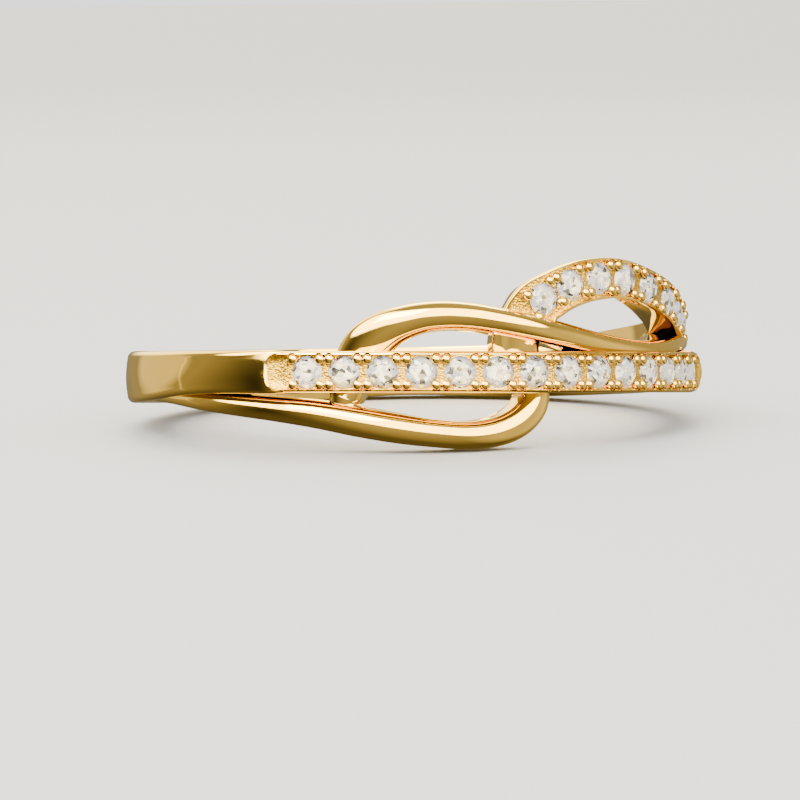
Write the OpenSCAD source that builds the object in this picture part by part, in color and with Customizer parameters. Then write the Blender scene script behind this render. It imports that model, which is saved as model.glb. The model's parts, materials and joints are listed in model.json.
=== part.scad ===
// Gold ring of three strands that cross and merge into a plain shank, set with round brilliants.
// It lies on its side as it rests by itself, with its front raised by the lower strand.
// Lengths are in millimetres. Angles run round the finger from the middle of the front.

/* [Finger] */
// Radius of the finger hole
bore_r = 8.65; // [8.55:0.05:8.75]

/* [Band and shank] */
// Height of the straight band along the finger
band_h = 1.44; // [1.4:0.02:1.5]
// Radius of the band's metal between its stones
band_r = 10.25; // [10.2:0.01:10.3]
// Radius of the crests along the band's two edges
crest_r = 10.44; // [10.4:0.01:10.46]
// Radius of the polished outer face of the shank, at the middle of its dome
shank_r = 10.58; // [10.55:0.01:10.6]
// Drop of the shank's face from the middle of its dome to the rounding of its edges
shank_dome = 0.06; // [0.04:0.01:0.1]
// Angle where the plain face stops and the set part of the band begins
pave_start = -54.3; // [-55:0.1:-54]
// Angle where the set part of the band ends
pave_end = 59.3; // [59:0.1:60]

/* [Strands] */
// Ledge between a plain strand's side wall and its dome
strand_ledge = 0.07; // [0.05:0.01:0.1]
// How far each wall of the set loop leans in towards the finger
wall_lean = 0.3; // [0.2:0.02:0.34]
// Steps from one row of a strand's table to the next
strand_steps = 2; // [2:1:4]

/* [Stones] */
// Diameter of each brilliant at its girdle
stone_d = 1.13; // [1.08:0.01:1.15]
// Number of brilliants along the band
band_stones = 14; // [13:1:14]
// Angle of the first brilliant on the band
first_stone = -46; // [-46.2:0.1:-45.8]
// Angle from one brilliant on the band to the next
stone_pitch = 7.5; // [7.44:0.01:7.52]
// Clearance between a brilliant and its seat
seat_gap = 0.025; // [0.02:0.005:0.03]
// Radius of the rounded beads of metal that hold the brilliants
bead_r = 0.165; // [0.15:0.005:0.17]

/* [Hidden] */

// Radii from which the shank and the strands rise, just outside the finger hole and apart so that none coincide
shank_root = bore_r + 0.04;
s_root = bore_r + 0.07;
arch_root = bore_r + 0.10;
// Angle by which the band stops short of the plain face, inside the end of the shank
band_lap = 1.6;
// Angle from one section of the shank to the next
shank_step = 6;
// Radius at which widths across a strand are laid out
layout_r = 9.8;
// Angles of the brilliants on the loop, and the row of its table where they begin
loop_stone_angles = [1.7, 7.6, 14.8, 22.1, 30.2, 39.4, 47.6, 55.5];
loop_start_row = 19;
// Proportions of a brilliant: radius of its table, heights of its crown, girdle and pavilion
table_r = 0.285 * stone_d;
crown_h = 0.16 * stone_d;
girdle_h = 0.03 * stone_d;
pavilion_h = 0.43 * stone_d;
// Place of each bead from the middle of its brilliant: along the row, across it and above the metal
bead_along = 0.503;
bead_across = 0.44;
bead_lift = 0.07;
// How far each cup reaches from the end of the plain face towards the first stone
cup_reach = 0.9;
// Depth of the metal between the stones of the loop below the crests along its edges
floor_depth = 0.15;

// Straight pieces in half of a strand's top
dome_steps = 4;

// How the ring lies by itself, on the lower strand and two points of the shank's edge behind:
// the tilt of its axis, the angle of the side that the lower strand raises, and the place of its centre
rest_tilt = 5.305;
rest_side = -32.91;
rest_place = [0.0032, -0.0245, 1.896];

// Columns of a strand's table: angle, height, width, radius of the crown, depth of the dome, squareness of the dome
ANGLE = 0;
HEIGHT = 1;
WIDTH = 2;
CROWN = 3;
DOME = 4;
SQUARE = 5;

// The strand that leaves the shank below, turns back under the band and rises behind it into the loop of stones
s_strand = [
    [-109, -0.68, 0.60, 10.15, 0.30, 0],
    [-97, -0.74, 0.62, 10.20, 0.32, 0],
    [-85, -0.82, 0.64, 10.25, 0.36, 0],
    [-73, -1.03, 0.68, 10.25, 0.40, 0],
    [-63, -1.17, 0.77, 10.25, 0.44, 0],
    [-54, -1.30, 0.86, 10.25, 0.48, 0],
    [-45, -1.47, 0.97, 10.25, 0.50, 0],
    [-36, -1.73, 1.04, 10.25, 0.50, 0],
    [-28, -1.95, 1.03, 10.25, 0.50, 0],
    [-21, -2.10, 0.98, 10.22, 0.48, 0],
    [-14, -2.18, 0.98, 10.15, 0.46, 0],
    [-7.9, -2.07, 1.03, 10.05, 0.44, 0],
    [-2.8, -1.74, 1.08, 9.97, 0.42, 0],
    [0.5, -1.24, 1.10, 9.90, 0.40, 0],
    [1.4, -0.72, 1.12, 9.82, 0.38, 0],
    [0.3, -0.20, 1.24, 9.72, 0.34, 0],
    [-1.6, 0.35, 1.58, 9.68, 0.28, 0],
    [-3.0, 0.95, 1.90, 9.75, 0.24, 0.3],
    [-2.4, 1.48, 1.86, 9.88, 0.20, 0.6],
    [-1.2, 2.01, 1.80, 10.02, 0.17, 1],
    [0.5, 2.38, 1.78, 10.12, 0.16, 1],
    [3.0, 2.65, 1.67, 10.18, 0.16, 1],
    [6.6, 2.95, 1.58, 10.22, 0.16, 1],
    [11.0, 3.17, 1.52, 10.24, 0.16, 1],
    [15.8, 3.27, 1.45, 10.26, 0.16, 1],
    [21, 3.26, 1.36, 10.26, 0.16, 1],
    [27, 3.09, 1.30, 10.25, 0.16, 1],
    [35, 2.75, 1.28, 10.22, 0.16, 1],
    [43, 2.36, 1.30, 10.12, 0.16, 1],
    [51, 1.97, 1.32, 10.02, 0.16, 1],
    [60, 1.60, 1.32, 10.00, 0.20, 0.8],
    [70, 1.34, 1.28, 10.08, 0.28, 0.3],
    [83, 1.16, 1.20, 10.25, 0.36, 0],
    [97, 1.00, 1.15, 10.25, 0.40, 0],
    [113, 0.80, 0.98, 10.20, 0.40, 0],
    [128, 0.65, 0.74, 10.10, 0.36, 0]
];

// The plain strand that rises behind the band from the lower strand, arches over and crosses in front of the loop
arch_strand = [
    [-41, -1.72, 0.90, 9.70, 0.30, 0],
    [-39.8, -1.25, 0.98, 9.75, 0.32, 0],
    [-38.9, -0.70, 1.10, 9.75, 0.34, 0],
    [-38.4, -0.10, 1.24, 9.75, 0.36, 0],
    [-37.3, 0.44, 1.44, 9.84, 0.38, 0],
    [-35.1, 0.91, 1.53, 9.97, 0.42, 0],
    [-31.9, 1.33, 1.43, 10.10, 0.46, 0],
    [-28.3, 1.63, 1.24, 10.20, 0.48, 0],
    [-23.6, 1.86, 1.10, 10.26, 0.50, 0],
    [-18.7, 1.94, 1.04, 10.30, 0.50, 0],
    [-13.5, 1.90, 0.98, 10.34, 0.48, 0],
    [-7.5, 1.75, 0.94, 10.36, 0.46, 0],
    [-2.0, 1.58, 0.92, 10.36, 0.44, 0],
    [4.5, 1.36, 0.88, 10.34, 0.42, 0],
    [11.5, 1.12, 0.80, 10.30, 0.40, 0],
    [18.5, 0.94, 0.72, 10.24, 0.36, 0],
    [25.5, 0.84, 0.64, 10.20, 0.32, 0],
    [32.5, 0.80, 0.60, 10.16, 0.30, 0],
    [39.5, 0.85, 0.58, 10.12, 0.30, 0],
    [46.5, 0.97, 0.58, 10.08, 0.30, 0],
    [54, 1.08, 0.62, 10.05, 0.30, 0],
    [63, 1.08, 0.66, 10.05, 0.30, 0],
    [73, 1.00, 0.66, 10.05, 0.30, 0]
];

// The shank, from one end of the set part round the back to the other: angle, lower edge, upper edge, rounding
shank = [
    [pave_start + 4.3, -0.76, 0.76, 0.12],
    [pave_start, -0.76, 0.76, 0.12],
    [-66, -0.75, 0.74, 0.26],
    [-78, -0.84, 0.74, 0.26],
    [-90, -1.00, 0.74, 0.26],
    [-102, -1.11, 0.75, 0.26],
    [-115, -1.15, 0.76, 0.28],
    [-145, -1.14, 0.79, 0.30],
    [-178, -1.11, 0.88, 0.32],
    [-204, -0.92, 0.95, 0.34],
    [-230, -0.985, 1.03, 0.36],
    [-258, -0.86, 0.98, 0.38],
    [-271, -0.77, 0.84, 0.38],
    [-284, -0.75, 0.76, 0.38],
    [pave_end - 360, -0.76, 0.76, 0.12],
    [pave_end - 363.6, -0.76, 0.76, 0.12]
];

function ring_point(angle, height, radius) =
    [radius * sin(angle), -radius * cos(angle), height];

// A smooth curve through four rows of a table, from the second row at t = 0 to the third at t = 1
function blend_rows(a, b, c, d, t) =
    0.5 * (2 * b + (c - a) * t + (2 * a - 5 * b + 4 * c - d) * t * t + (3 * b - a - 3 * c + d) * t * t * t);

// The row of a table at a place that counts rows, and parts of a row
function row_at(table, place) =
    let (last = len(table) - 1,
        i = min(floor(place), last - 1))
    blend_rows(table[max(i - 1, 0)], table[i], table[i + 1], table[min(i + 2, last)], place - i);

// The direction in which a strand runs, as [along the finger's round, along the finger]
function heading(table, place) =
    let (reach = 0.05,
        last = len(table) - 1,
        a = row_at(table, max(place - reach, 0)),
        b = row_at(table, min(place + reach, last)),
        run = (b[ANGLE] - a[ANGLE]) * PI / 180 * layout_r,
        rise = b[HEIGHT] - a[HEIGHT],
        long = norm([run, rise]))
    [run / long, rise / long];

// A point beside a strand's middle line, by its distance across and its radius
function beside(row, way, across, radius) =
    ring_point(row[ANGLE] - across * way[1] / layout_r * 180 / PI, row[HEIGHT] + across * way[0], radius);

// Half of the section's top where stones are set, from its edge: part of the half width, drop from the crest
set_half = [
    [1, 0.16],
    [0.985, 0.03],
    [0.95, 0],
    [0.80, floor_depth],
    [0, floor_depth]
];

// A point of the section's top, which goes from a round dome to a set floor between two crests
function top_point(row, i) =
    let (t = i * 90 / dome_steps,
        side = i <= dome_steps ? 1 : -1,
        set_point = set_half[i <= dome_steps ? i : 2 * dome_steps - i],
        half = row[WIDTH] / 2 - strand_ledge * (1 - row[SQUARE]),
        across = half * cos(t) * (1 - row[SQUARE]) + half * side * set_point[0] * row[SQUARE],
        drop = row[DOME] * (1 - sin(t)) * (1 - row[SQUARE]) + set_point[1] * row[SQUARE])
    [across, row[CROWN] - drop];

// A strand's section: its two walls, their ledges and its top
function section(row, root) =
    let (half = row[WIDTH] / 2,
        foot = half - wall_lean * row[SQUARE],
        base = row[CROWN] - row[DOME] - 0.02)
    concat([[foot, root], [half, base]],
        [for (i = [0:2 * dome_steps]) top_point(row, i)],
        [[-half, base], [-foot, root]]);

// The side faces and the two end faces of a skin over rings of points
function skin_faces(rings, around) =
    concat(
        [[for (j = [0:around - 1]) j]],
        [for (i = [0:rings - 2], j = [0:around - 1])
            let (k = (j + 1) % around)
            [i * around + j, (i + 1) * around + j, (i + 1) * around + k, i * around + k]],
        [[for (j = [around - 1:-1:0]) (rings - 1) * around + j]]);

module skin(rings) {
    polyhedron(
        points = [for (ring = rings) each ring],
        faces = skin_faces(len(rings), len(rings[0])),
        convexity = 10);
}

// A strand swept through its table
module strand(table, root) {
    places = [for (i = [0:(len(table) - 1) * strand_steps]) i / strand_steps];
    skin([for (place = places)
        let (row = row_at(table, place), way = heading(table, place))
        [for (p = section(row, root)) beside(row, way, p[0], p[1])]]);
}

// The shank's section between its lower and upper edges: a low dome between two rounded edges
function shank_section(low, high, edge) =
    let (face_r = shank_r - shank_dome,
        middle = (low + high) / 2,
        reach = (high - low) / 2 - edge)
    concat([[shank_root, low]],
        [for (t = [0:22.5:90]) [face_r - edge * (1 - sin(t)), low + edge * (1 - cos(t))]],
        [for (part = [-0.5:0.5:0.5]) [shank_r - shank_dome * part * part, middle + part * reach]],
        [for (t = [90:22.5:180]) [face_r - edge * (1 - sin(t)), high - edge * (1 + cos(t))]],
        [[shank_root, high]]);

module plain_shank() {
    last = len(shank) - 1;
    places = concat(
        [for (i = [0:last - 1])
            let (steps = ceil((shank[i][ANGLE] - shank[i + 1][ANGLE]) / shank_step))
            for (k = [0:steps - 1]) i + k / steps],
        [last]);
    skin([for (place = places)
        let (row = row_at(shank, place))
        [for (p = shank_section(row[1], row[2], row[3])) ring_point(row[0], p[1], p[0])]]);
}

// The set part of the band: a floor for the stones between two crests, drawn into the shank at both ends
module set_band() {
    half = band_h / 2;
    crest_h = half - 0.03;
    floor_h = half - 0.1;
    rotate([0, 0, pave_start + band_lap - 90])
        rotate_extrude(angle = pave_end - pave_start - 2 * band_lap, $fn = 180)
            polygon([
                [bore_r, -half],
                [crest_r - 0.04, -half],
                [crest_r, -crest_h],
                [band_r, -floor_h],
                [band_r, floor_h],
                [crest_r, crest_h],
                [crest_r - 0.04, half],
                [bore_r, half]
            ]);
}

// The outline of the cup where the plain face stops, round at its left and straight at its right
function cup_outline(left, half_h, corner, radius) =
    concat([[cup_reach, -half_h, radius], [cup_reach, half_h, radius]],
        [for (t = [90:22.5:180]) [left + corner * (1 + cos(t)), half_h - corner * (1 - sin(t)), radius]],
        [for (t = [180:22.5:270]) [left + corner * (1 + cos(t)), -half_h + corner * (1 + sin(t)), radius]]);

// The cup that is cut into the shank where the set part begins: a bright rim and a wall down to the floor
module cup() {
    skin([
        cup_outline(0.55, 0.50, 0.30, band_r + 0.02),
        cup_outline(0.22, 0.60, 0.34, shank_r - 0.10),
        cup_outline(0.02, 0.70, 0.42, shank_r - 0.02),
        cup_outline(-0.10, 0.76, 0.46, shank_r + 0.06)
    ]);
}

// Stands what is drawn at the origin on the ring's outside, with its Z away from the finger
module stand_on_ring(angle, height, radius) {
    rotate([0, 0, angle])
        translate([0, -radius, height])
            rotate([90, 0, 0])
                children();
}

// The place on the loop, counted in rows of its table, where it passes an angle
function loop_place(angle, low, high, halvings = 30) =
    halvings == 0 ? (low + high) / 2 :
    let (middle = (low + high) / 2)
    row_at(s_strand, middle)[ANGLE] < angle
        ? loop_place(angle, middle, high, halvings - 1)
        : loop_place(angle, low, middle, halvings - 1);

// Settings as [angle, height, radius of the metal, turn about the outward direction]
band_settings = [for (i = [0:band_stones - 1]) [first_stone + i * stone_pitch, 0, band_r, 0]];
loop_settings = [for (angle = loop_stone_angles)
    let (place = loop_place(angle, loop_start_row, len(s_strand) - 1),
        row = row_at(s_strand, place),
        way = heading(s_strand, place))
    [row[ANGLE], row[HEIGHT], row[CROWN] - floor_depth, atan2(way[1], way[0])]];

// Stands what is drawn at the origin in a setting, with its X along the row of stones
module in_setting(setting, lift) {
    stand_on_ring(setting[0], setting[1], setting[2] + lift)
        rotate([0, 0, setting[3]])
            children();
}

// A round brilliant with a table, 8 stars, 8 kites, 16 upper halves, 16 lower halves and 8 mains
module brilliant() {
    r = stone_d / 2;
    star_r = 0.763 * r;
    lower_r = 0.22 * r;
    star_h = crown_h * (r - star_r * cos(22.5)) / (r - table_r);
    culet_h = -(girdle_h + pavilion_h);
    lower_h = -girdle_h - pavilion_h * (1 - lower_r * cos(22.5) / r);
    table = [for (k = [0:7]) [table_r * cos(45 * k), table_r * sin(45 * k), crown_h]];
    stars = [for (k = [0:7]) [star_r * cos(45 * k + 22.5), star_r * sin(45 * k + 22.5), star_h]];
    top = [for (k = [0:15]) [r * cos(22.5 * k), r * sin(22.5 * k), 0]];
    bottom = [for (p = top) [p[0], p[1], -girdle_h]];
    lower = [for (k = [0:7]) [lower_r * cos(45 * k + 22.5), lower_r * sin(45 * k + 22.5), lower_h]];
    star = 8;
    upper = 16;
    under = 32;
    low = 48;
    culet = 56;
    polyhedron(
        points = concat(table, stars, top, bottom, lower, [[0, 0, culet_h]]),
        faces = concat(
            [[for (k = [7:-1:0]) k]],
            [for (k = [0:7]) [k, (k + 1) % 8, star + k]],
            [for (k = [0:7]) [k, star + k, upper + 2 * k, star + (k + 7) % 8]],
            [for (k = [0:7]) [star + k, upper + 2 * k + 1, upper + 2 * k]],
            [for (k = [0:7]) [star + k, upper + (2 * k + 2) % 16, upper + 2 * k + 1]],
            [for (k = [0:15]) [upper + k, upper + (k + 1) % 16, under + (k + 1) % 16, under + k]],
            [for (k = [0:7]) [low + k, under + 2 * k, under + 2 * k + 1]],
            [for (k = [0:7]) [low + k, under + 2 * k + 1, under + (2 * k + 2) % 16]],
            [for (k = [0:7]) [culet, low + (k + 7) % 8, under + 2 * k, low + k]]));
}

// The space cut for a brilliant, a little larger than the stone on every side
module seat() {
    r = stone_d / 2 + seat_gap;
    rotate_extrude($fn = 48)
        polygon([
            [0, -girdle_h - pavilion_h - 2 * seat_gap],
            [r, -girdle_h - seat_gap],
            [r, seat_gap],
            [table_r + seat_gap, crown_h + seat_gap],
            [0, crown_h + seat_gap]
        ]);
}

// The pair of beads on one side of a brilliant, to its right (1) or its left (-1)
module bead_pair(side) {
    for (edge = [-1, 1])
        translate([side * bead_along, edge * bead_across, 0])
            sphere(bead_r, $fn = 24);
}

module beads(settings) {
    for (setting = settings)
        in_setting(setting, bead_lift)
            for (side = [-1, 1])
                bead_pair(side);
}

// The cast metal: the band and the shank with their cups, the strands and the beads, with the seats cut out
module gold_ring() {
    color("goldenrod")
        resting()
            difference() {
                union() {
                    difference() {
                        union() {
                            set_band();
                            plain_shank();
                        }
                        stand_on_ring(pave_start, 0, 0)
                            cup();
                        stand_on_ring(pave_end, 0, 0)
                            rotate([0, 0, 180])
                                cup();
                    }
                    strand(s_strand, s_root);
                    strand(arch_strand, arch_root);
                    beads(band_settings);
                    beads(loop_settings);
                }
                for (setting = concat(band_settings, loop_settings))
                    in_setting(setting, 0)
                        seat();
            }
}

module set_stone(setting) {
    color("aliceblue")
        resting()
            in_setting(setting, 0)
                brilliant();
}

// Lays the ring down as it rests by itself, with the middle of its box over the origin
module resting() {
    translate(rest_place)
        rotate(a = rest_tilt, v = [-cos(rest_side), -sin(rest_side), 0])
            children();
}

gold_ring();
for (i = [1:band_stones])
    set_stone(band_settings[i - 1]);
for (i = [1:len(loop_settings)])
    set_stone(loop_settings[i - 1]);
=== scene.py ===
"""Gold ring of three strands that cross and merge into a plain shank, set with round brilliants.

The ring lies on its side on a plain pale floor. Shapes are drawn in millimetres in the ring's own frame,
with Z along the finger and angles in degrees from the middle of the front. They are then laid down as the
ring rests.
"""

import json
import math

import bmesh
import bpy
from mathutils import Matrix, Vector


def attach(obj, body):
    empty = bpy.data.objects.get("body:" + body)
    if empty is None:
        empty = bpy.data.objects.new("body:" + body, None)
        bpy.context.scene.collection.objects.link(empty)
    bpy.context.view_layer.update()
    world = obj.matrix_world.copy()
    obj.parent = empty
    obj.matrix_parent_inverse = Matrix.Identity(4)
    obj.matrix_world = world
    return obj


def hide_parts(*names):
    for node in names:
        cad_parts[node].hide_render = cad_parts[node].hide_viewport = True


bl_info = {
    "name": "Set gold ring",
    "version": (1, 0, 0),
    "blender": (4, 5, 0),
    "location": "3D View > Sidebar > Ring",
    "description": "Builds a gold ring of three crossing strands with two rows of round stones",
    "category": "Object",
}

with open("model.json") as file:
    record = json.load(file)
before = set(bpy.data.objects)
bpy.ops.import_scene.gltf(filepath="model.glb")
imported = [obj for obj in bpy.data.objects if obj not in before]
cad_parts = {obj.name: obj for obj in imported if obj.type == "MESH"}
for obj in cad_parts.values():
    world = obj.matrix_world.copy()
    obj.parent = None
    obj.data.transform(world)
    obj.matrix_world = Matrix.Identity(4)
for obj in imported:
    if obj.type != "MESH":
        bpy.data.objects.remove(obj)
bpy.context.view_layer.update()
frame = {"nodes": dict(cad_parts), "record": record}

MM = 0.001
BODY = "root"
METAL_NODE = "gold_ring"

# Places of the stones along the band and along the loop, in degrees
BAND_STONES = 14
FIRST_STONE = -46
STONE_PITCH = 7.5
LOOP_STONE_ANGLES = [1.7, 7.6, 14.8, 22.1, 30.2, 39.4, 47.6, 55.5]

# Rows of the loop's table: the first with stones, and the two between which its floor is cut
LOOP_START_ROW = 19
SET_ROWS = 18, 30

# A stone's four beads: their places along and across its row, how far they stand proud, and their recess
BEAD_ALONG = 0.503
BEAD_ACROSS = 0.44
BEAD_LIFT = 0.10
BEAD_FLATTEN = 0.75
BEAD_RECESS = 0.222

# How the ring lies: the tilt of its axis, the side that is raised, and the place of its centre
REST_TILT = 5.305
REST_SIDE = -32.91
REST_PLACE = (0.0032, -0.0245, 1.896)

# Where the set part of the front begins and ends, in degrees
PAVE_START = -54.3
PAVE_END = 59.3

# Distances from the finger's axis to the band's floor, its crest, the shank's face and the strands' layout
BAND_R = 10.25
CREST_R = 10.44
SHANK_R = 10.58
LAYOUT_R = 9.8

# How far the inner walls of the other parts lie outside the band's, so that no two walls coincide
SHANK_INSIDE = 0.003
LOOP_INSIDE = 0.006
ARCH_INSIDE = 0.009

# Rise of the shank's face, lean of a set strand's wall, and depth of the floor that its stones sit on
SHANK_DOME = 0.06
WALL_LEAN = 0.3
FLOOR_DEPTH = 0.15

# Points of a strand's section along one of its walls
WALL_POINTS = 6

# Places of the two finishes in each piece of the metal; the cut one carries painted shade
PLAIN_FINISH, CUT_FINISH_WITH_PAINTED_SHADE = 0, 1

# Columns of a strand's table
ANGLE, HEIGHT, WIDTH, CROWN, DOME, SQUARE = range(6)

# The strand from the shank's left that turns back under the band and rises behind it as the loop of stones
S_STRAND = [
    (-109, -0.68, 0.60, 10.15, 0.30, 0),
    (-97, -0.74, 0.62, 10.20, 0.32, 0),
    (-85, -0.82, 0.64, 10.25, 0.36, 0),
    (-73, -1.03, 0.68, 10.25, 0.40, 0),
    (-63, -1.17, 0.77, 10.25, 0.44, 0),
    (-54, -1.30, 0.86, 10.25, 0.48, 0),
    (-45, -1.47, 0.97, 10.25, 0.50, 0),
    (-36, -1.73, 1.04, 10.25, 0.50, 0),
    (-28, -1.95, 1.03, 10.25, 0.50, 0),
    (-21, -2.10, 0.98, 10.22, 0.48, 0),
    (-14, -2.18, 0.98, 10.15, 0.46, 0),
    (-7.9, -2.07, 1.03, 10.05, 0.44, 0),
    (-2.8, -1.74, 1.08, 9.97, 0.42, 0),
    (0.5, -1.24, 1.10, 9.90, 0.40, 0),
    (1.4, -0.72, 1.12, 9.82, 0.38, 0),
    (0.3, -0.20, 1.24, 9.72, 0.34, 0),
    (-1.6, 0.35, 1.58, 9.68, 0.28, 0),
    (-3.0, 0.95, 1.90, 9.75, 0.24, 0.3),
    (-2.4, 1.48, 1.86, 9.88, 0.20, 0.6),
    (-1.2, 2.01, 1.80, 10.02, 0.17, 1),
    (0.5, 2.38, 1.78, 10.12, 0.16, 1),
    (3.0, 2.65, 1.67, 10.18, 0.16, 1),
    (6.6, 2.95, 1.58, 10.22, 0.16, 1),
    (11.0, 3.17, 1.52, 10.24, 0.16, 1),
    (15.8, 3.27, 1.45, 10.26, 0.16, 1),
    (21, 3.26, 1.36, 10.26, 0.16, 1),
    (27, 3.09, 1.30, 10.25, 0.16, 1),
    (35, 2.75, 1.28, 10.22, 0.16, 1),
    (43, 2.36, 1.30, 10.12, 0.16, 1),
    (51, 1.97, 1.32, 10.02, 0.16, 1),
    (60, 1.60, 1.32, 10.00, 0.20, 0.8),
    (70, 1.34, 1.28, 10.08, 0.28, 0.3),
    (83, 1.16, 1.20, 10.25, 0.36, 0),
    (97, 1.00, 1.15, 10.25, 0.40, 0),
    (113, 0.80, 0.98, 10.20, 0.40, 0),
    (128, 0.65, 0.74, 10.10, 0.36, 0),
]

# The plain strand that rises from the lower strand behind the band, and arches over in front of the loop
ARCH_STRAND = [
    (-39.6, -1.72, 1.80, 9.80, 0.30, 0),
    (-39.8, -1.47, 1.42, 9.80, 0.30, 0),
    (-39.9, -1.27, 1.14, 9.80, 0.30, 0),
    (-39.9, -1.07, 1.02, 9.80, 0.30, 0),
    (-39.7, -0.88, 1.08, 9.80, 0.30, 0),
    (-39.3, -0.70, 1.26, 9.78, 0.32, 0),
    (-38.4, -0.10, 1.24, 9.75, 0.36, 0),
    (-37.3, 0.44, 1.44, 9.84, 0.38, 0),
    (-35.1, 0.91, 1.53, 9.97, 0.42, 0),
    (-31.9, 1.33, 1.43, 10.10, 0.46, 0),
    (-28.3, 1.63, 1.24, 10.20, 0.48, 0),
    (-23.6, 1.86, 1.10, 10.26, 0.50, 0),
    (-18.7, 1.94, 1.04, 10.30, 0.50, 0),
    (-13.5, 1.90, 0.98, 10.34, 0.48, 0),
    (-7.5, 1.75, 0.94, 10.36, 0.46, 0),
    (-2.0, 1.58, 0.92, 10.36, 0.44, 0),
    (4.5, 1.36, 0.88, 10.34, 0.42, 0),
    (11.5, 1.12, 0.80, 10.30, 0.40, 0),
    (18.5, 0.94, 0.72, 10.24, 0.36, 0),
    (25.5, 0.84, 0.64, 10.20, 0.32, 0),
    (32.5, 0.80, 0.60, 10.16, 0.30, 0),
    (39.5, 0.85, 0.58, 10.12, 0.30, 0),
    (46.5, 0.97, 0.58, 10.08, 0.30, 0),
    (54, 1.08, 0.62, 10.05, 0.30, 0),
    (63, 1.08, 0.66, 10.05, 0.30, 0),
    (73, 1.00, 0.66, 10.05, 0.30, 0),
]

# The shank round the back, as angle, lower edge, upper edge, rounding of its edges, drop of its face
SHANK = [
    (PAVE_START + 4.3, -0.70, 0.70, 0.10, 0.16),
    (PAVE_START + 2.6, -0.735, 0.735, 0.12, 0.06),
    (PAVE_START, -0.76, 0.76, 0.14, 0),
    (-66, -0.76, 0.75, 0.24, 0),
    (-78, -0.84, 0.74, 0.26, 0),
    (-90, -1.00, 0.74, 0.26, 0),
    (-102, -1.11, 0.75, 0.26, 0),
    (-115, -1.15, 0.76, 0.28, 0),
    (-145, -1.14, 0.79, 0.30, 0),
    (-178, -1.11, 0.88, 0.32, 0),
    (-204, -0.92, 0.95, 0.34, 0),
    (-230, -0.985, 1.03, 0.36, 0),
    (-258, -0.86, 0.98, 0.38, 0),
    (-271, -0.77, 0.84, 0.38, 0),
    (-284, -0.75, 0.76, 0.38, 0),
    (PAVE_END - 360, -0.76, 0.76, 0.40, 0),
    (PAVE_END - 361.8, -0.735, 0.735, 0.36, 0.06),
    (PAVE_END - 363.4, -0.70, 0.70, 0.30, 0.16),
]

# Half of the set section's top, from its edge to its middle: part of the half width, drop from the crest
SET_TOP = [
    (1, 0.16), (0.998, 0.06), (0.99, 0.025), (0.975, 0.006), (0.955, 0), (0.925, 0), (0.89, 0),
    (0.875, 0.012), (0.86, 0.06),
    (0.845, FLOOR_DEPTH), (0.5, FLOOR_DEPTH), (0.25, FLOOR_DEPTH), (0, FLOOR_DEPTH),
]


def record_colour(slot_name):
    """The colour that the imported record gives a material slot."""
    for material in frame["record"]["materials"]:
        if material["slot"] == slot_name:
            return tuple(material["base_color"][:3])
    raise ValueError(f"the record has no slot {slot_name}")


class RingSizes(bpy.types.PropertyGroup):
    """Sizes of the ring that a user would change."""

    bore_r: bpy.props.FloatProperty(
        name="Finger hole", description="Radius of the finger hole",
        default=8.65 * MM, min=7 * MM, max=11 * MM, precision=5, unit="LENGTH")
    band_h: bpy.props.FloatProperty(
        name="Band height", description="Height of the set band along the finger",
        default=1.44 * MM, min=1 * MM, max=2 * MM, precision=5, unit="LENGTH")
    stone_d: bpy.props.FloatProperty(
        name="Stone", description="Diameter of each brilliant",
        default=1.13 * MM, min=1 * MM, max=1.2 * MM, precision=5, unit="LENGTH")
    bead_r: bpy.props.FloatProperty(
        name="Bead", description="Radius of the beads that hold the stones",
        default=0.182 * MM, min=0.1 * MM, max=0.2 * MM, precision=5, unit="LENGTH")
    camera_distance: bpy.props.FloatProperty(
        name="Camera distance", description="Distance from the camera to the ring's axis",
        default=146.5 * MM, min=50 * MM, max=1, precision=4, unit="LENGTH")


class RingColours(bpy.types.PropertyGroup):
    """Colours and finishes that a user would change."""

    gold: bpy.props.FloatVectorProperty(
        name="Gold", description="Colour of the polished gold",
        default=record_colour("gold"), min=0, max=1, subtype="COLOR")
    gold_roughness: bpy.props.FloatProperty(
        name="Gold roughness", description="Roughness of the polished gold",
        default=0.06, min=0, max=0.5, subtype="FACTOR")
    stone: bpy.props.FloatVectorProperty(
        name="Stone", description="Colour of the clear stones",
        default=record_colour("stone"), min=0, max=1, subtype="COLOR")
    floor: bpy.props.FloatVectorProperty(
        name="Floor", description="Colour of the floor",
        default=(0.38, 0.378, 0.371), min=0, max=1, subtype="COLOR")


def in_mm(length):
    return length / MM


def laid_down():
    """From the ring's own frame in millimetres to the row frame in metres."""
    side = math.radians(REST_SIDE)
    raised = Vector((-math.cos(side), -math.sin(side), 0))
    tilt = Matrix.Rotation(math.radians(REST_TILT), 4, raised)
    return Matrix.Scale(MM, 4) @ Matrix.Translation(REST_PLACE) @ tilt


def ring_point(angle, height, radius):
    a = math.radians(angle)
    return Vector((radius * math.sin(a), -radius * math.cos(a), height))


def between(before, start, end, after, t):
    """A value from start to end, on a smooth curve that also heeds the values before and after them."""
    slope = end - before
    bend = 2 * before - 5 * start + 4 * end - after
    turn = 3 * start - before - 3 * end + after
    return 0.5 * (2 * start + slope * t + bend * t ** 2 + turn * t ** 3)


def row_at(table, place):
    """The row of a table at a place that counts rows, on a smooth curve through them."""
    last = len(table) - 1
    i = min(int(place), last - 1)
    rows = [table[max(i - 1, 0)], table[i], table[i + 1], table[min(i + 2, last)]]
    return [between(*values, place - i) for values in zip(*rows)]


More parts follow.
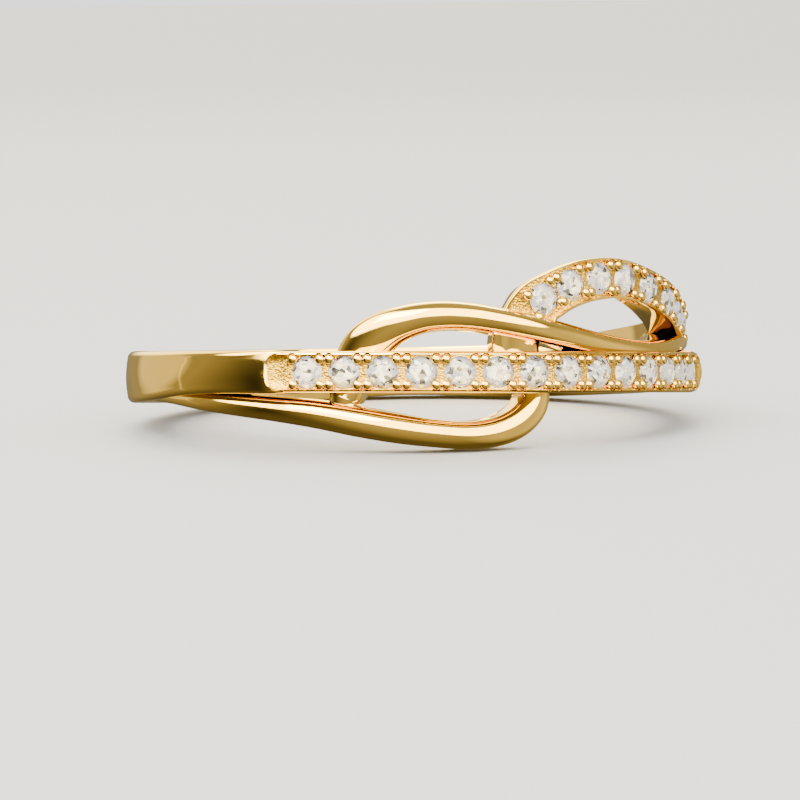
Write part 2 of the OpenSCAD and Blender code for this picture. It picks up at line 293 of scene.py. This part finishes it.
def heading(table, place):
    """The direction in which a strand runs, as (along the finger's round, along the finger)."""
    reach = 0.05
    before = row_at(table, max(place - reach, 0))
    after = row_at(table, min(place + reach, len(table) - 1))
    run = math.radians(after[ANGLE] - before[ANGLE]) * LAYOUT_R
    way = Vector((run, after[HEIGHT] - before[HEIGHT]))
    return way.normalized()


def strand_section(row, root, half_points=12):
    """A strand's section as (across, radius), from one foot over its dome or set top to the other."""
    half = row[WIDTH] / 2
    square = row[SQUARE]
    foot = half - WALL_LEAN * square
    seam = 0.02
    wall = row[CROWN] - row[DOME] - seam
    edge = 0.05
    near = 0.3 * edge
    points = [(foot - edge, root), (foot - near, root + near), (foot, root + edge)]
    points += [
        (foot + (half - foot) * k / 3, root + edge + (wall - root - edge) * k / 3) for k in (1, 2, 3)]
    for i in range(2 * half_points + 1):
        turn = math.radians(i * 90 / half_points)
        side = 1 if i <= half_points else -1
        part, drop = SET_TOP[min(i, 2 * half_points - i)]
        across = half * (math.cos(turn) * (1 - square) + side * part * square)
        fall = row[DOME] * (1 - math.sin(turn)) * (1 - square) + drop * square
        points.append((across, row[CROWN] - fall))
    return points + [(-across, radius) for across, radius in reversed(points[:WALL_POINTS])]


def beside(row, way, across, radius):
    """A point beside a strand's middle line, by its distance across and its radius."""
    angle = row[ANGLE] - math.degrees(across * way[1] / LAYOUT_R)
    return ring_point(angle, row[HEIGHT] + across * way[0], radius)


def skin(rings, cut_points=(0, 0), cut_rings=None):
    """A closed shell over rings of points: a grid whose points are moved to the rings, welded and capped.

    Faces between the two cut_points of a ring, and between the two cut_rings, get the finish of cut metal,
    which carries painted shade.
    """
    first_ring, last_ring = cut_rings or (0, len(rings) - 1)
    weld = 1e-6
    bm = bmesh.new()
    around = len(rings[0])
    grid = bmesh.ops.create_grid(bm, x_segments=around, y_segments=len(rings) - 1, size=1)["verts"]
    places = {vert: divmod(k, around + 1) for k, vert in enumerate(grid)}
    for face in bm.faces:
        cut = all(
            first_ring <= ring <= last_ring and cut_points[0] <= point <= cut_points[1]
            for ring, point in (places[vert] for vert in face.verts))
        face.material_index = CUT_FINISH_WITH_PAINTED_SHADE if cut else PLAIN_FINISH
    for vert, (ring, j) in places.items():
        vert.co = rings[ring][j % around]
    bmesh.ops.remove_doubles(bm, verts=bm.verts, dist=weld)
    bmesh.ops.holes_fill(bm, edges=[e for e in bm.edges if e.is_boundary], sides=0)
    bmesh.ops.recalc_face_normals(bm, faces=bm.faces)
    return bm


def strand_rings(table, root, steps):
    rings = []
    for k in range((len(table) - 1) * steps + 1):
        place = k / steps
        row = row_at(table, place)
        way = heading(table, place)
        rings.append([beside(row, way, across, radius) for across, radius in strand_section(row, root)])
    return rings


def shank_section(row, root):
    """The shank's section as (height, radius): a low dome between two rounded edges."""
    low, high, edge, drop = row[1:]
    face_r = SHANK_R - SHANK_DOME - drop
    middle = (low + high) / 2
    reach = (high - low) / 2 - edge
    inner = 0.08
    near = 0.3 * inner
    points = [(low + inner, root), (low + near, root + near), (low, root + inner)]
    corner = [math.radians(t) for t in range(0, 91, 15)]
    points += [(low + edge * (1 - math.cos(t)), face_r - edge * (1 - math.sin(t))) for t in corner]
    points += [
        (middle + part * reach, face_r + SHANK_DOME * (1 - part * part))
        for part in (-0.8, -0.6, -0.4, -0.2, 0, 0.2, 0.4, 0.6, 0.8)]
    points += [
        (high - edge * (1 - math.cos(t)), face_r - edge * (1 - math.sin(t))) for t in reversed(corner)]
    return points + [(high, root + inner), (high - near, root + near), (high - inner, root)]


def shank_rings(root, step=1.5):
    rings = []
    for i in range(len(SHANK) - 1):
        parts = math.ceil((SHANK[i][ANGLE] - SHANK[i + 1][ANGLE]) / step)
        for k in range(parts + (i == len(SHANK) - 2)):
            row = row_at(SHANK, i + k / parts)
            section = shank_section(row, root)
            rings.append([ring_point(row[ANGLE], height, radius) for height, radius in section])
    return rings


def cup_outline(left, half_h, corner, radius, reach=0.9, points=17):
    """One outline of the cup in a stood-up drawing, round at its left and straight at its right."""
    turns = [math.radians(90 + 90 * k / (points - 1)) for k in range(points)]
    top = [(left + corner * (1 + math.cos(t)), half_h - corner * (1 - math.sin(t))) for t in turns]
    bottom = [(x, -y) for x, y in reversed(top)]
    return [Vector((x, y, radius)) for x, y in [(reach, -half_h), (reach, half_h)] + top + bottom]


def cup_cutter(angle, turn):
    """The space of a cup where the plain face stops: a polished rim, and a hollow wall with cut texture and
    painted shade.
    """
    # Outlines from the floor up, as left end, half height, rounding, distance from the finger's axis
    rows = [
        (0.58, 0.46, 0.30, BAND_R + 0.005),
        (0.42, 0.52, 0.32, BAND_R + 0.03),
        (0.28, 0.575, 0.35, BAND_R + 0.08),
        (0.16, 0.625, 0.38, BAND_R + 0.15),
        (0.08, 0.66, 0.41, BAND_R + 0.23),
        (0.035, 0.69, 0.43, SHANK_R - 0.03),
        (-0.01, 0.72, 0.45, SHANK_R),
        (-0.12, 0.78, 0.48, SHANK_R + 0.07),
    ]
    last_cut_row = 4
    hair = 0.001
    cut_up_to = rows[last_cut_row][-1] + hair
    bm = skin([cup_outline(*row) for row in rows])
    for face in bm.faces:
        high = max(vert.co.z for vert in face.verts)
        if high <= cut_up_to:
            face.material_index = CUT_FINISH_WITH_PAINTED_SHADE
    bmesh.ops.transform(bm, matrix=stand(angle, 0, 0, turn), verts=bm.verts)
    return bm


def stand(angle, height, radius, turn=0):
    """Stands what is drawn at the origin on the ring's outside, with its Z away from the finger."""
    return (
        Matrix.Rotation(math.radians(angle), 4, "Z")
        @ Matrix.Translation((0, -radius, height))
        @ Matrix.Rotation(math.radians(90), 4, "X")
        @ Matrix.Rotation(math.radians(turn), 4, "Z"))


def loop_settings():
    """The settings of the loop's stones as (angle, height, radius of the metal, turn)."""
    halvings = 30
    found = []
    for angle in LOOP_STONE_ANGLES:
        low, high = LOOP_START_ROW, len(S_STRAND) - 1
        for _ in range(halvings):
            middle = (low + high) / 2
            if row_at(S_STRAND, middle)[ANGLE] < angle:
                low = middle
            else:
                high = middle
        row = row_at(S_STRAND, low)
        way = heading(S_STRAND, low)
        turn = math.degrees(math.atan2(way[1], way[0]))
        found.append((row[ANGLE], row[HEIGHT], row[CROWN] - FLOOR_DEPTH, turn))
    return found


def band_settings():
    return [(FIRST_STONE + i * STONE_PITCH, 0, BAND_R, 0) for i in range(BAND_STONES)]


def mesh_object(name, bm, finishes=()):
    mesh = bpy.data.meshes.new(name)
    bm.to_mesh(mesh)
    bm.free()
    for finish in finishes:
        mesh.materials.append(finish)
    thing = bpy.data.objects.new(name, mesh)
    bpy.context.scene.collection.objects.link(thing)
    return thing


def cut_out(piece, cutter_bm):
    """Cuts the space of a closed shape out of a piece, and leaves the result as its mesh."""
    cutter = mesh_object("cutter", cutter_bm)
    cut = piece.modifiers.new("Cut", "BOOLEAN")
    cut.operation = "DIFFERENCE"
    cut.solver = "EXACT"
    cut.object = cutter
    shown = piece.evaluated_get(bpy.context.evaluated_depsgraph_get())
    result = bpy.data.meshes.new_from_object(shown)
    piece.modifiers.clear()
    spare = piece.data
    piece.data = result
    bpy.data.meshes.remove(spare)
    bpy.data.objects.remove(cutter)
    if not result.polygons:
        raise RuntimeError(f"nothing is left of {piece.name}")


def metal_object(name, bm):
    """A piece of the metal with its two finishes, polished and cut; the cut one carries painted shade."""
    return mesh_object(name, bm, [material("polished_gold", polished_gold), material("cut_gold_with_painted_shade", cut_gold_with_painted_shade)])


def finish_metal(piece, sharp=32):
    """Lays a piece of the metal down, and smooths it between its sharp edges."""
    piece.data.transform(laid_down())
    piece.data.shade_smooth()
    piece.data.set_sharp_from_angle(angle=math.radians(sharp))
    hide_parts(METAL_NODE)
    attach(piece, BODY)


def bead_places(settings, side):
    """Where the two beads on one side of each stone stand, to its right (1) or its left (-1)."""
    return [
        stand(angle, height, radius, turn) @ Matrix.Translation((side * BEAD_ALONG, across, 0))
        for angle, height, radius, turn in settings
        for across in (-BEAD_ACROSS, BEAD_ACROSS)]


def recess_cutters(settings, side):
    """The round recesses that the beads of one side stand in, wider at the top."""
    depth = 0.34
    rise = 0.14
    bm = bmesh.new()
    for place in bead_places(settings, side):
        bmesh.ops.create_cone(
            bm, cap_ends=True, segments=24, radius1=0.8 * BEAD_RECESS, radius2=1.1 * BEAD_RECESS,
            depth=depth, matrix=place @ Matrix.Translation((0, 0, rise)))
    return bm


def cut_settings(piece, settings, stone_d):
    """Cuts the seats of the stones and the recesses of their beads into a piece."""
    for side in (-1, 1):
        cut_out(piece, recess_cutters(settings, side))
    cut_out(piece, seat_cutters(settings, stone_d))


def seat_cutters(settings, stone_d):
    """The seats of a row of stones, each a cone down to the stone's point and one up to its table."""
    gap = 0.02
    seat_r = stone_d / 2 + gap
    point_r = 0.12
    seat_depth = 0.46 * stone_d + gap
    seat_drop = -0.03 * stone_d - seat_depth / 2
    table_r = 0.36
    mouth_depth = 0.25
    mouth_rise = 0.12
    bm = bmesh.new()
    for angle, height, radius, turn in settings:
        place = stand(angle, height, radius, turn)
        bmesh.ops.create_cone(
            bm, cap_ends=True, segments=32, radius1=point_r, radius2=seat_r, depth=seat_depth,
            matrix=place @ Matrix.Translation((0, 0, seat_drop)))
        bmesh.ops.create_cone(
            bm, cap_ends=True, segments=32, radius1=seat_r, radius2=table_r, depth=mouth_depth,
            matrix=place @ Matrix.Translation((0, 0, mouth_rise)))
    return bm


class Socket:
    """A socket of a material's nodes. Sums on it add Math nodes."""

    def __init__(self, maker, socket):
        self.maker = maker
        self.socket = socket

    def sum_of(self, operation, first, second):
        return self.maker.add("ShaderNodeMath", {"operation": operation}, {0: first, 1: second})

    def __add__(self, other):
        return self.sum_of("ADD", self, other)

    def __radd__(self, other):
        return self.sum_of("ADD", other, self)

    def __sub__(self, other):
        return self.sum_of("SUBTRACT", self, other)

    def __rsub__(self, other):
        return self.sum_of("SUBTRACT", other, self)

    def __mul__(self, other):
        return self.sum_of("MULTIPLY", self, other)

    def __rmul__(self, other):
        return self.sum_of("MULTIPLY", other, self)


class Maker:
    """Adds nodes to a material or a world, and hands back their first output or a named one."""

    def __init__(self, owner):
        owner.use_nodes = True
        self.owner = owner
        self.tree = owner.node_tree

    def add(self, kind, settings=None, inputs=None, output=0):
        node = self.tree.nodes.new(kind)
        for key, value in (settings or {}).items():
            if key == "stops":
                self.set_stops(node, value)
            else:
                setattr(node, key, value)
        for key, value in (inputs or {}).items():
            self.feed(node.inputs[key], value)
        return Socket(self, node.outputs[output])

    def set_stops(self, node, stops):
        ramp = node.color_ramp
        while len(ramp.elements) < len(stops):
            ramp.elements.new(1)
        for element, (position, colour) in zip(ramp.elements, stops):
            element.position = position
            element.color = (*colour, 1)

    def feed(self, target, value):
        if isinstance(value, Socket):
            self.tree.links.new(value.socket, target)
        else:
            target.default_value = value

    def surface(self, **inputs):
        shader = self.tree.nodes["Principled BSDF"]
        for key, value in inputs.items():
            self.feed(shader.inputs[key.replace("_", " ")], value)
        return self.owner


def polished_gold(colours):
    """Mirror-polished yellow gold, a little uneven, with faint clouds of handling in its roughness."""
    maker = Maker(bpy.data.materials.new("polished_gold"))
    place = maker.add("ShaderNodeTexCoord", output="Object")
    clouds = maker.add("ShaderNodeTexNoise", inputs={"Vector": place, "Scale": 420.0, "Detail": 3.0})
    grain = maker.add("ShaderNodeTexNoise", inputs={"Vector": place, "Scale": 9000.0, "Detail": 2.0})
    waves = maker.add("ShaderNodeTexNoise", inputs={"Vector": place, "Scale": 260.0, "Detail": 0.0})
    grain_share = 0.005
    height = waves + grain_share * grain
    deep = tuple(0.9 * c for c in colours.gold)
    colour = maker.add(
        "ShaderNodeMix", {"data_type": "RGBA"},
        {"Factor": clouds, "A": (*deep, 1), "B": (*colours.gold, 1)}, output=2)
    normal = maker.add("ShaderNodeBump", inputs={"Strength": 1.0, "Distance": 0.00004, "Height": height})
    roughness = colours.gold_roughness * (0.6 + 0.8 * clouds)
    return maker.surface(Base_Color=colour, Metallic=1.0, Roughness=roughness, Normal=normal)


def cut_gold_with_painted_shade(colours):
    """The floor between the stones: the same gold, cut with a graver, so it is finely pitted and softer.
    The colour turns far darker on the raised borders between the hollows; this is painted shade, and it
    darkens the floor as a whole. In the hollows the gold is made more orange.
    """
    maker = Maker(bpy.data.materials.new("cut_gold_with_painted_shade"))
    place = maker.add("ShaderNodeTexCoord", output="Object")
    pits_and_painted_shade = maker.add("ShaderNodeTexVoronoi", inputs={"Vector": place, "Scale": 14000.0})
    normal = maker.add("ShaderNodeBump", inputs={"Strength": 0.7, "Distance": 0.00003, "Height": pits_and_painted_shade})
    red, green, blue = colours.gold
    pit = (red, 0.92 * green, 0.36 * blue, 1)
    # Painted shade: this colour on the raised borders is far darker than the gold, and stands in for shade
    # on the cut floor.
    painted_shade_ridge = (0.46 * red, 0.36 * green, 0.12 * blue, 1)
    shade = maker.add(
        "ShaderNodeMix", {"data_type": "RGBA"}, {"Factor": pits_and_painted_shade, "A": pit, "B": painted_shade_ridge}, output=2)
    return maker.surface(Base_Color=shade, Metallic=1.0, Roughness=0.26 + 0.1 * pits_and_painted_shade, Normal=normal)


def clear_stone(colours):
    """A clear brilliant: white, with painted reflections of the facets behind its face as dark and dim
    patches in its colour, each patch's face turned its own way.
    """
    maker = Maker(bpy.data.materials.new("clear_stone"))
    place = maker.add("ShaderNodeTexCoord", output="Object")
    facet_tilts_and_painted_glints = maker.add("ShaderNodeTexVoronoi", inputs={"Vector": place, "Scale": 6500.0}, output="Color")
    painted_glint_level = maker.add("ShaderNodeSeparateColor", inputs={"Color": facet_tilts_and_painted_glints})
    clear = tuple(colours.stone)
    # Painted reflections: the dark and dim stops darken some patches of the white colour, standing in for
    # facets that mirror dark surroundings.
    dark = tuple(0.05 * c for c in clear)
    dim = tuple(0.25 * c for c in clear)
    stops = [(0.0, dark), (0.20, dim), (0.32, clear), (1.0, clear)]
    shade = maker.add("ShaderNodeValToRGB", {"stops": stops}, {"Fac": painted_glint_level})
    halves = (0.5, 0.5, 0.5)
    lean = maker.add("ShaderNodeVectorMath", {"operation": "SUBTRACT"}, {0: facet_tilts_and_painted_glints, 1: halves})
    face = maker.add("ShaderNodeNewGeometry", output="Normal")
    turned = maker.add(
        "ShaderNodeVectorMath", {"operation": "MULTIPLY_ADD"}, {0: lean, 1: halves, 2: face})
    normal = maker.add("ShaderNodeVectorMath", {"operation": "NORMALIZE"}, {0: turned})
    return maker.surface(
        Base_Color=shade, Roughness=0.0, IOR=2.42, Transmission_Weight=0.5, Normal=normal)


def stage_surface(name, colour, roughness):
    """A plain surface of the stage, very faintly mottled."""
    maker = Maker(bpy.data.materials.new(name))
    place = maker.add("ShaderNodeTexCoord", output="Object")
    clouds = maker.add("ShaderNodeTexNoise", inputs={"Vector": place, "Scale": 6.0})
    mottled = tuple(0.98 * c for c in colour)
    shade = maker.add(
        "ShaderNodeMix", {"data_type": "RGBA"},
        {"Factor": clouds, "A": (*mottled, 1), "B": (*colour, 1)}, output=2)
    return maker.surface(Base_Color=shade, Roughness=roughness)


def nearness(maker, way, around, up, core, rim):
    """How near a way lies to a place in the surroundings: 1 within the core's cosine, 0 past the rim's."""
    aim = Vector((0, -1, 0))
    aim.rotate(Matrix.Rotation(math.radians(-up), 3, "X"))
    aim.rotate(Matrix.Rotation(math.radians(around), 3, "Z"))
    near = maker.add(
        "ShaderNodeVectorMath", {"operation": "DOT_PRODUCT"}, {0: way, 1: aim}, output="Value")
    return maker.add("ShaderNodeMapRange", inputs={"Value": near, "From Min": rim, "From Max": core})


def soft_box(maker, way):
    """A long soft box with a clear edge, as rounds that overlap from the ring's right to its left."""
    rounds = 9
    right_end, length = 8, 104
    height, rise = 31, 12
    size, narrowing, edge = 0.885, 0.04, 0.025
    box = 0
    for k in range(rounds):
        left = k / (rounds - 1)
        core = size + narrowing * left
        part = nearness(maker, way, right_end - length * left, height + rise * left, core, core - edge)
        box = part.sum_of("MAXIMUM", box, part)
    return box


def strip_light(maker, way):
    """A narrow upright strip light to the left, where two half spheres overlap."""
    side, height = -130, 25
    core, rim = 0.03, -0.01
    right_half = nearness(maker, way, side - 90, 0, core, rim)
    left_half = nearness(maker, way, side + 90, 0, core, rim)
    ends = nearness(maker, way, side, height, 0.80, 0.60)
    return right_half * left_half * ends


def studio():
    """Pale surroundings, which the metal and the stones mirror as soft glows in the dark."""
    maker = Maker(bpy.data.worlds.new("studio"))
    maker.tree.nodes.remove(maker.tree.nodes["Background"])
    way = maker.add("ShaderNodeTexCoord", output="Generated")
    # Glows as side, height angle, cosine at the core, cosine at the rim, fall-off, brightness
    glows = [
        (-25, 20, 0.95, 0.30, 1.5, 0.40),
        (-25, -22, 0.90, 0.50, 1.5, 0.25),
        (-150, 12, 0.85, 0.45, 1.5, 0.40),
        (-148, 6, 0.96, 0.92, 1.0, 0.80),
        (50, -12, 0.92, 0.66, 1.5, 0.8),
        (105, 16, 0.80, 0.20, 1.5, 0.50),
        (170, 38, 0.90, 0.80, 1.5, 4.0),
        (0, 90, 0.95, 0.55, 1.5, 0.5),
        (0, -90, 0.90, 0.10, 1.0, 0.10),
    ]
    darkness = 0.03
    box_brightness = 11.0
    strip_brightness = 16.0
    mirrored = darkness + box_brightness * soft_box(maker, way) + strip_brightness * strip_light(maker, way)
    for around, up, core, rim, fall, brightness in glows:
        part = nearness(maker, way, around, up, core, rim)
        mirrored = mirrored + brightness * part.sum_of("POWER", part, fall)

    # What lights the floor, what the camera sees, what the metal mirrors and what shows through the stones
    glossy = maker.add("ShaderNodeLightPath", output="Is Glossy Ray")
    bent = Socket(maker, glossy.socket.node.outputs["Is Transmission Ray"])
    seen = Socket(maker, glossy.socket.node.outputs["Is Camera Ray"])
    light = 4.2
    dimmed_for_camera = 2.3
    light_in_stones = 14.0
    pale = maker.add(
        "ShaderNodeBackground",
        inputs={"Color": (0.95, 0.95, 0.96, 1), "Strength": light - dimmed_for_camera * seen})
    on_metal = maker.add(
        "ShaderNodeBackground", inputs={"Color": (1.0, 0.82, 0.45, 1), "Strength": mirrored})
    in_stones = maker.add(
        "ShaderNodeBackground", inputs={"Color": (1, 1, 1, 1), "Strength": light_in_stones + mirrored})
    shown = maker.add("ShaderNodeMixShader", inputs={"Fac": glossy, 1: pale, 2: on_metal})
    shown = maker.add("ShaderNodeMixShader", inputs={"Fac": bent, 1: shown, 2: in_stones})
    maker.feed(maker.tree.nodes["World Output"].inputs["Surface"], shown)
    return maker.owner


def material(name, make):
    """A material by its name, made the first time that it is asked for."""
    return bpy.data.materials.get(name) or make(bpy.context.scene.ring_colours)


class RING_OT_camera(bpy.types.Operator):
    """Places the camera at the photograph's angle to the ring"""

    bl_idname = "ring.camera"
    bl_label = "Camera"

    def execute(self, context):
        distance = in_mm(context.scene.ring_sizes.camera_distance)
        # The lens for one distance in pixels, the picture's side, and where the ring's axis shows in it
        known_focal, known_distance = 3977.0, 146.5
        focal_pixels = known_focal * distance / known_distance
        picture = 800
        axis_x, axis_y = 413.75, 366.3
        facing = -25
        eye_height = 0.2
        lay = laid_down().to_quaternion()
        eye = laid_down() @ ring_point(facing, eye_height, distance)
        right = Vector((math.cos(math.radians(facing)), math.sin(math.radians(facing)), 0))
        ahead = -ring_point(facing, 0, 1)
        finger = Vector((0, 0, 1))
        look = ahead * focal_pixels + right * (picture / 2 - axis_x) - finger * (picture / 2 - axis_y)
        back = -(lay @ look).normalized()
        across = (lay @ finger).cross(back).normalized()
        up = back.cross(across)
        data = bpy.data.cameras.new("camera")
        data.sensor_width = 36
        data.lens = focal_pixels / picture * data.sensor_width
        data.clip_start = 0.001
        data.clip_end = 50
        camera = bpy.data.objects.new("camera", data)
        camera.matrix_world = Matrix.Translation(eye) @ Matrix((across, up, back)).transposed().to_4x4()
        context.scene.collection.objects.link(camera)
        context.scene.camera = camera
        return {"FINISHED"}


class RING_OT_band(bpy.types.Operator):
    """Makes the set band: a floor for the stones between two crests"""

    bl_idname = "ring.band"
    bl_label = "Set band"

    def execute(self, context):
        sizes = context.scene.ring_sizes
        half = in_mm(sizes.band_h) / 2
        bore_r = in_mm(sizes.bore_r)
        # Half of the section as radius and height: finger hole, flat side, rounded crest, floor
        floor_edge = (BAND_R, half - 0.132)
        outline = [
            (bore_r, half - 0.06), (bore_r + 0.015, half - 0.02), (bore_r + 0.06, half), (9.5, half),
            (CREST_R - 0.17, half), (CREST_R - 0.12, half - 0.008), (CREST_R - 0.075, half - 0.026),
            (CREST_R - 0.035, half - 0.05), (CREST_R - 0.01, half - 0.075), (CREST_R, half - 0.11),
            (CREST_R - 0.01, half - 0.12), floor_edge, (BAND_R, 0.3)]
        floor_from = outline.index(floor_edge)
        outline += [(radius, -height) for radius, height in reversed(outline)]
        lap = 1.6
        steps = 240
        start, end = PAVE_START + lap, PAVE_END - lap
        rings = [
            [ring_point(start + (end - start) * k / steps, height, radius) for radius, height in outline]
            for k in range(steps + 1)]
        band = metal_object("band", skin(rings, (floor_from, len(outline) - 1 - floor_from)))
        cut_settings(band, band_settings(), in_mm(sizes.stone_d))
        finish_metal(band)
        return {"FINISHED"}


class RING_OT_shank(bpy.types.Operator):
    """Makes the plain shank, with a cup at each end where the stones begin"""

    bl_idname = "ring.shank"
    bl_label = "Shank"

    def execute(self, context):
        bore_r = in_mm(context.scene.ring_sizes.bore_r)
        shank = metal_object("shank", skin(shank_rings(bore_r + SHANK_INSIDE)))
        for angle, turn in ((PAVE_START, 0), (PAVE_END, 180)):
            cut_out(shank, cup_cutter(angle, turn))
        finish_metal(shank)
        return {"FINISHED"}


class RING_OT_strands(bpy.types.Operator):
    """Makes the strand that turns into the loop of stones and the plain strand that arches over it"""

    bl_idname = "ring.strands"
    bl_label = "Strands"

    def execute(self, context):
        sizes = context.scene.ring_sizes
        bore_r = in_mm(sizes.bore_r)
        steps = 8
        rings = strand_rings(S_STRAND, bore_r + LOOP_INSIDE, steps)
        floor_from = WALL_POINTS + [drop for _, drop in SET_TOP].index(FLOOR_DEPTH)
        floor_to = len(rings[0]) - 1 - floor_from
        set_rings = steps * SET_ROWS[0], steps * SET_ROWS[1]
        loop = metal_object("loop_strand", skin(rings, (floor_from, floor_to), set_rings))
        cut_settings(loop, loop_settings(), in_mm(sizes.stone_d))
        arch = metal_object("arch_strand", skin(strand_rings(ARCH_STRAND, bore_r + ARCH_INSIDE, steps)))
        for strand in (loop, arch):
            finish_metal(strand)
        return {"FINISHED"}


class RING_OT_beads(bpy.types.Operator):
    """Makes the beads of metal that hold the stones"""

    bl_idname = "ring.beads"
    bl_label = "Beads"

    def execute(self, context):
        bead_r = in_mm(context.scene.ring_sizes.bead_r)
        proud = Matrix.Translation((0, 0, BEAD_LIFT)) @ Matrix.Diagonal((1, 1, BEAD_FLATTEN, 1))
        for name, settings in (("band_beads", band_settings()), ("loop_beads", loop_settings())):
            bm = bmesh.new()
            for place in bead_places(settings, -1) + bead_places(settings, 1):
                bmesh.ops.create_uvsphere(
                    bm, u_segments=20, v_segments=12, radius=bead_r, matrix=place @ proud)
            finish_metal(metal_object(name, bm), sharp=60)
        return {"FINISHED"}


class RING_OT_stones(bpy.types.Operator):
    """Gives the brilliants their finish, with painted reflections in its colour"""

    bl_idname = "ring.stones"
    bl_label = "Stones"

    def execute(self, context):
        finish = material("clear_stone", clear_stone)
        for name, node in frame["nodes"].items():
            if name != METAL_NODE:
                node.data.materials.clear()
                node.data.materials.append(finish)
        return {"FINISHED"}


class RING_OT_stage(bpy.types.Operator):
    """Sets the plain pale floor and the soft studio light"""

    bl_idname = "ring.stage"
    bl_label = "Floor and light"

    def execute(self, context):
        reach = 20
        roughness = 0.6
        colour = tuple(context.scene.ring_colours.floor)
        bm = bmesh.new()
        bmesh.ops.create_grid(bm, x_segments=1, y_segments=1, size=reach)
        floor = mesh_object("floor", bm, [stage_surface("floor", colour, roughness)])
        floor.visible_glossy = False
        # Soft boxes as name, side, height angle, distance, width, height, brightness
        boxes = [
            ("front", -60, 48, 0.45, 0.30, 0.22, 15.0),
            ("back", 150, 50, 0.45, 0.30, 0.16, 9.0),
        ]
        for name, around, up, distance, wide, high, brightness in boxes:
            data = bpy.data.lights.new(name, "AREA")
            data.shape = "RECTANGLE"
            data.size, data.size_y = wide, high
            data.energy = brightness * math.pi * wide * high
            light = bpy.data.objects.new(name, data)
            light.visible_camera = False
            level = math.cos(math.radians(up)) * distance
            light.location = (
                level * math.sin(math.radians(around)), -level * math.cos(math.radians(around)),
                math.sin(math.radians(up)) * distance)
            light.rotation_euler = (-light.location).to_track_quat("-Z", "Y").to_euler()
            context.scene.collection.objects.link(light)
        context.scene.world = studio()
        return {"FINISHED"}


class RING_PT_panel(bpy.types.Panel):
    """Lists the steps that build the ring"""

    bl_idname = "RING_PT_panel"
    bl_label = "Set gold ring"
    bl_space_type = "VIEW_3D"
    bl_region_type = "UI"
    bl_category = "Ring"

    def draw(self, context):
        for group in (context.scene.ring_sizes, context.scene.ring_colours):
            for key in group.bl_rna.properties.keys():
                if key not in ("rna_type", "name"):
                    self.layout.prop(group, key)
        for step in STEPS:
            self.layout.operator(step.bl_idname)


STEPS = [
    RING_OT_camera, RING_OT_band, RING_OT_shank, RING_OT_strands, RING_OT_beads, RING_OT_stones,
    RING_OT_stage,
]
CLASSES = [RingSizes, RingColours, *STEPS, RING_PT_panel]


def register():
    for cls in CLASSES:
        bpy.utils.register_class(cls)
    bpy.types.Scene.ring_sizes = bpy.props.PointerProperty(type=RingSizes)
    bpy.types.Scene.ring_colours = bpy.props.PointerProperty(type=RingColours)


def unregister():
    del bpy.types.Scene.ring_colours
    del bpy.types.Scene.ring_sizes
    for cls in reversed(CLASSES):
        bpy.utils.unregister_class(cls)


def main():
    register()
    bpy.ops.ring.camera()
    bpy.ops.ring.band()
    bpy.ops.ring.shank()
    bpy.ops.ring.strands()
    bpy.ops.ring.beads()
    bpy.ops.ring.stones()
    bpy.ops.ring.stage()


if __name__ == "__main__":
    main()
